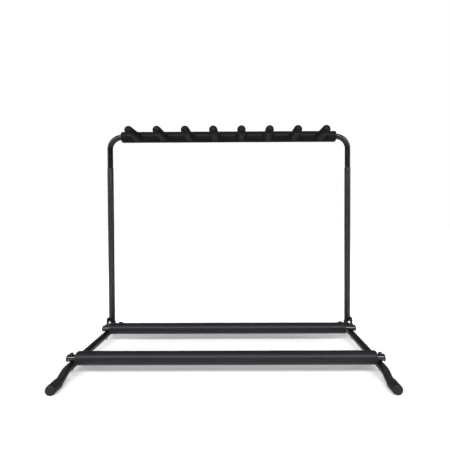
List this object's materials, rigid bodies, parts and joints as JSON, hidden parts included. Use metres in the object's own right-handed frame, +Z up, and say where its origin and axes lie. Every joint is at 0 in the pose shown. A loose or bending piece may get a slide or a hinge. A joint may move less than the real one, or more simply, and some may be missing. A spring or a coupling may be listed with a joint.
{
  "type": "guitar rack",
  "caption": "Folding floor rack for guitars: padded front and rear crossbars on arched leg tubes, and a padded neck rest with forward prongs on a telescoping yoke.",
  "frame": {"origin": "on the floor, under the middle of the leg tubes, in the rack's plane of symmetry", "axes": "+X to the right as seen from the front, +Y from the front feet to the rear feet, +Z up"},
  "size_m": [0.9258, 0.46, 0.7711],
  "materials": {
    "powder_coat": "satin black powder coat",
    "gloss_coat": "gloss black paint",
    "foam": "matte closed-cell foam, fine skin",
    "foot_rubber": "matte moulded rubber",
    "plug_plastic": "gloss black moulding",
    "zinc": "zinc plated",
    "black_hardware": "black oxide",
    "weld_steel": "bare mild steel"
  },
  "bodies": {
    "base": {"crossbar_bolt_front_left": "black_hardware", "crossbar_bolt_front_right": "black_hardware", "crossbar_bolt_rear_left": "black_hardware", "crossbar_bolt_rear_right": "black_hardware", "crossbar_nut_front_left": "zinc", "crossbar_nut_front_right": "zinc", "crossbar_nut_rear_left": "zinc", "crossbar_nut_rear_right": "zinc", "crossbar_plug_front_left": "plug_plastic", "crossbar_plug_front_right": "plug_plastic", "crossbar_plug_rear_left": "plug_plastic", "crossbar_plug_rear_right": "plug_plastic", "crossbar_tube_front": "gloss_coat", "crossbar_tube_rear": "gloss_coat", "foam_sleeve_front": "foam", "foam_sleeve_rear": "foam", "foot_cap_front_left": "foot_rubber", "foot_cap_front_right": "foot_rubber", "foot_cap_rear_left": "foot_rubber", "foot_cap_rear_right": "foot_rubber", "hinge_bracket_left": "powder_coat", "hinge_bracket_right": "powder_coat", "hinge_pin_left": "black_hardware", "hinge_pin_right": "black_hardware", "leg_tube_left": "powder_coat", "leg_tube_right": "powder_coat", "lock_bolt_left": "zinc", "lock_bolt_right": "zinc"},
    "uprights": {"upright_tube_left": "powder_coat", "upright_tube_right": "powder_coat"},
    "yoke": {"neck_rest": "foam", "prong_rod_1": "weld_steel", "prong_rod_2": "weld_steel", "prong_rod_3": "weld_steel", "prong_rod_4": "weld_steel", "prong_rod_5": "weld_steel", "prong_rod_6": "weld_steel", "prong_rod_7": "weld_steel", "prong_rod_8": "weld_steel", "yoke_tube": "gloss_coat"}
  },
  "joints": [
    {"name": "frame_fold", "type": "hinge", "parent": "base", "child": "uprights", "pos_m": [0, 0.1455, 0.0535], "axis": [-1, 0, 0], "range_deg": [0, 90]},
    {"name": "yoke_lift", "type": "slide", "parent": "uprights", "child": "yoke", "axis": [0, 0, 1], "range_m": [0, 0.08]}
  ]
}
